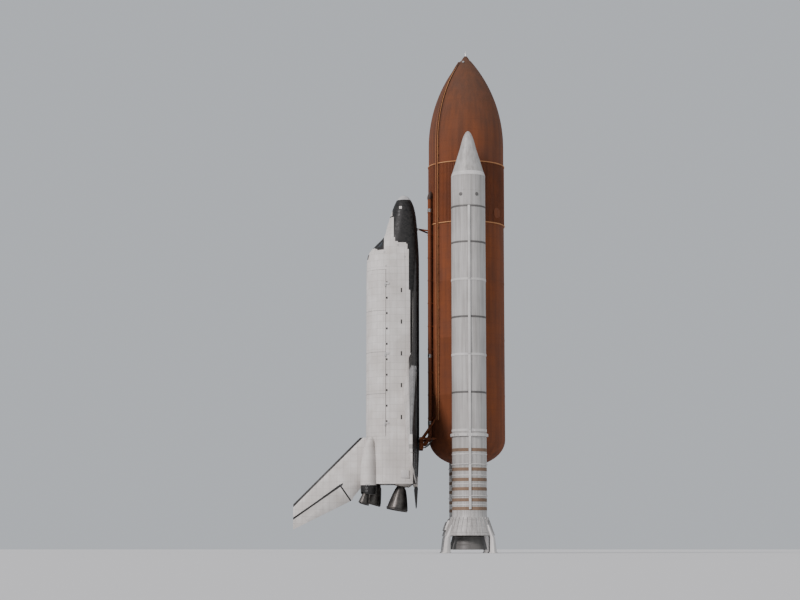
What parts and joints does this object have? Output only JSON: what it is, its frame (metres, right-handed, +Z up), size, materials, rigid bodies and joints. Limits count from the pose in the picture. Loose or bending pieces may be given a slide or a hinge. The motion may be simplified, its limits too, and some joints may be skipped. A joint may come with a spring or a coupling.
{
  "type": "space shuttle launch stack, half-scale model",
  "caption": "Winged orbiter on a ribbed fuel tank with solid boosters, standing on hold-down posts; bay doors, hatch, wing flaps, rudder and gimballed engines move.",
  "frame": {"origin": "on the floor under the middle of the whole stack", "axes": "+Z up along the tank to its nose, orbiter on the -Y side, its right wing to +X"},
  "size_m": [11.8948, 11.75, 28.2512],
  "materials": {
    "tank_foam": "sprayed foam, rough",
    "booster_paint": "satin paint",
    "blanket": "quilted white insulation, matt",
    "black_tile": "black tile, satin",
    "carbon": "grey carbon, satin",
    "glass": "dark glass",
    "cabin": "matt paint",
    "bare_metal": "machined",
    "nozzle": "heat-darkened metal"
  },
  "bodies": {
    "stack": {"oxygen_tank": "tank_foam", "intertank": "tank_foam", "hydrogen_tank": "tank_foam", "feed_line": "tank_foam", "pressure_line": "tank_foam", "forward_attach": "tank_foam", "aft_attach": "tank_foam", "nose_cap": "carbon", "forward_fuselage": "blanket", "windshield_glass": "glass", "flight_deck": "cabin", "middle_fuselage": "blanket", "aft_fuselage": "blanket", "vertical_fin": "blanket", "left_booster_nose": "booster_paint", "left_booster_forward_skirt": "booster_paint", "left_booster_motor": "booster_paint", "left_booster_aft_skirt": "booster_paint", "left_wing": "blanket", "left_wing_edge": "carbon", "left_pod": "blanket", "right_booster_nose": "booster_paint", "right_booster_forward_skirt": "booster_paint", "right_booster_motor": "booster_paint", "right_booster_aft_skirt": "booster_paint", "right_wing": "blanket", "right_wing_edge": "carbon", "right_pod": "blanket"},
    "left_bay_door": {"left_bay_door": "blanket"},
    "right_bay_door": {"right_bay_door": "blanket"},
    "side_hatch": {"side_hatch": "blanket"},
    "left_inner_elevon": {"left_inner_elevon": "blanket"},
    "left_outer_elevon": {"left_outer_elevon": "blanket"},
    "right_inner_elevon": {"right_inner_elevon": "blanket"},
    "right_outer_elevon": {"right_outer_elevon": "blanket"},
    "body_flap": {"body_flap": "black_tile"},
    "rudder_hub": {"rudder_hub": "bare_metal"},
    "left_rudder_panel": {"left_rudder_panel": "blanket"},
    "right_rudder_panel": {"right_rudder_panel": "blanket"},
    "upper_main_gimbal": {"upper_main_gimbal": "bare_metal"},
    "upper_main_engine": {"upper_main_engine": "nozzle"},
    "left_main_gimbal": {"left_main_gimbal": "bare_metal"},
    "left_main_engine": {"left_main_engine": "nozzle"},
    "right_main_gimbal": {"right_main_gimbal": "bare_metal"},
    "right_main_engine": {"right_main_engine": "nozzle"},
    "left_pod_gimbal": {"left_pod_gimbal": "bare_metal"},
    "left_pod_engine": {"left_pod_engine": "nozzle"},
    "right_pod_gimbal": {"right_pod_gimbal": "bare_metal"},
    "right_pod_engine": {"right_pod_engine": "nozzle"},
    "left_booster_gimbal": {"left_booster_gimbal": "bare_metal"},
    "left_booster_nozzle": {"left_booster_nozzle": "nozzle"},
    "right_booster_gimbal": {"right_booster_gimbal": "bare_metal"},
    "right_booster_nozzle": {"right_booster_nozzle": "nozzle"}
  },
  "joints": [
    {"name": "left_bay_door_hinge", "type": "hinge", "parent": "stack", "child": "left_bay_door", "pos_m": [-1.3462, -0.81155, 10.9347], "axis": [0, 0, -1], "range_deg": [0, 175.5]},
    {"name": "right_bay_door_hinge", "type": "hinge", "parent": "stack", "child": "right_bay_door", "pos_m": [1.3462, -0.81155, 10.9347], "axis": [0, 0, 1], "range_deg": [0, 175.5]},
    {"name": "side_hatch_hinge", "type": "hinge", "parent": "stack", "child": "side_hatch", "pos_m": [-1.31826, 0.12317, 16.2052], "axis": [0, 0, -1], "range_deg": [0, 90]},
    {"name": "left_inner_elevon_hinge", "type": "hinge", "parent": "stack", "child": "left_inner_elevon", "pos_m": [-2.7178, 0.68328, 5.3213], "axis": [-0.9994, -0.0347, 0], "range_deg": [-20, 35]},
    {"name": "left_outer_elevon_hinge", "type": "hinge", "parent": "stack", "child": "left_outer_elevon", "pos_m": [-4.953, 0.60572, 5.3213], "axis": [-0.9994, -0.0347, 0], "range_deg": [-20, 35]},
    {"name": "right_inner_elevon_hinge", "type": "hinge", "parent": "stack", "child": "right_inner_elevon", "pos_m": [2.7178, 0.68328, 5.3213], "axis": [-0.9994, 0.0347, 0], "range_deg": [-20, 35]},
    {"name": "right_outer_elevon_hinge", "type": "hinge", "parent": "stack", "child": "right_outer_elevon", "pos_m": [4.953, 0.60572, 5.3213], "axis": [-0.9994, 0.0347, 0], "range_deg": [-20, 35]},
    {"name": "body_flap_hinge", "type": "hinge", "parent": "stack", "child": "body_flap", "pos_m": [0, 0.87755, 3.4798], "axis": [-1, 0, 0], "range_deg": [-22.5, 11.7]},
    {"name": "rudder_hinge", "type": "hinge", "parent": "stack", "child": "rudder_hub", "pos_m": [0, -4.31675, 2.91705], "axis": [0, -0.8208, -0.5712], "range_deg": [-27.1, 27.1]},
    {"name": "left_speed_brake", "type": "hinge", "parent": "rudder_hub", "child": "left_rudder_panel", "pos_m": [0, -4.31675, 2.91705], "axis": [0, 0.8208, 0.5712], "range_deg": [0, 49.3]},
    {"name": "right_speed_brake", "type": "hinge", "parent": "rudder_hub", "child": "right_rudder_panel", "pos_m": [0, -4.31675, 2.91705], "axis": [0, -0.8208, -0.5712], "range_deg": [0, 49.3]},
    {"name": "upper_engine_pitch", "type": "hinge", "parent": "stack", "child": "upper_main_gimbal", "pos_m": [0, -1.10365, 4.5847], "axis": [-1, 0, 0], "range_deg": [-10.5, 10.5]},
    {"name": "upper_engine_yaw", "type": "hinge", "parent": "upper_main_gimbal", "child": "upper_main_engine", "pos_m": [0, -1.10365, 4.5847], "axis": [0, -0.9613, 0.2756], "range_deg": [-8.5, 8.5]},
    {"name": "left_engine_pitch", "type": "hinge", "parent": "stack", "child": "left_main_gimbal", "pos_m": [-0.6731, 0.17092, 4.29044], "axis": [-1, 0, 0], "range_deg": [-10.5, 10.5]},
    {"name": "left_engine_yaw", "type": "hinge", "parent": "left_main_gimbal", "child": "left_main_engine", "pos_m": [-0.6731, 0.17092, 4.29044], "axis": [0, -0.9848, 0.1736], "range_deg": [-8.5, 8.5]},
    {"name": "right_engine_pitch", "type": "hinge", "parent": "stack", "child": "right_main_gimbal", "pos_m": [0.6731, 0.17092, 4.29044], "axis": [-1, 0, 0], "range_deg": [-10.5, 10.5]},
    {"name": "right_engine_yaw", "type": "hinge", "parent": "right_main_gimbal", "child": "right_main_engine", "pos_m": [0.6731, 0.17092, 4.29044], "axis": [0, -0.9848, 0.1736], "range_deg": [-8.5, 8.5]},
    {"name": "left_pod_engine_pitch", "type": "hinge", "parent": "stack", "child": "left_pod_gimbal", "pos_m": [-1.1176, -1.72595, 3.6576], "axis": [-1, 0, 0], "range_deg": [-6, 6]},
    {"name": "left_pod_engine_yaw", "type": "hinge", "parent": "left_pod_gimbal", "child": "left_pod_engine", "pos_m": [-1.1176, -1.72595, 3.6576], "axis": [0, -0.9622, 0.2723], "range_deg": [-7, 7]},
    {"name": "right_pod_engine_pitch", "type": "hinge", "parent": "stack", "child": "right_pod_gimbal", "pos_m": [1.1176, -1.72595, 3.6576], "axis": [-1, 0, 0], "range_deg": [-6, 6]},
    {"name": "right_pod_engine_yaw", "type": "hinge", "parent": "right_pod_gimbal", "child": "right_pod_engine", "pos_m": [1.1176, -1.72595, 3.6576], "axis": [0, -0.9622, 0.2723], "range_deg": [-7, 7]},
    {"name": "left_nozzle_rock", "type": "hinge", "parent": "stack", "child": "left_booster_gimbal", "pos_m": [-3.18135, 3.716, 2.0828], "axis": [0.7071, 0.7071, 0], "range_deg": [-8, 8]},
    {"name": "left_nozzle_tilt", "type": "hinge", "parent": "left_booster_gimbal", "child": "left_booster_nozzle", "pos_m": [-3.18135, 3.716, 2.0828], "axis": [-0.7071, 0.7071, 0], "range_deg": [-8, 8]},
    {"name": "right_nozzle_rock", "type": "hinge", "parent": "stack", "child": "right_booster_gimbal", "pos_m": [3.18135, 3.716, 2.0828], "axis": [0.7071, 0.7071, 0], "range_deg": [-8, 8]},
    {"name": "right_nozzle_tilt", "type": "hinge", "parent": "right_booster_gimbal", "child": "right_booster_nozzle", "pos_m": [3.18135, 3.716, 2.0828], "axis": [-0.7071, 0.7071, 0], "range_deg": [-8, 8]}
  ],
  "couplings": [
    {"joint": "right_speed_brake", "follows": "left_speed_brake", "ratio": 1}
  ]
}
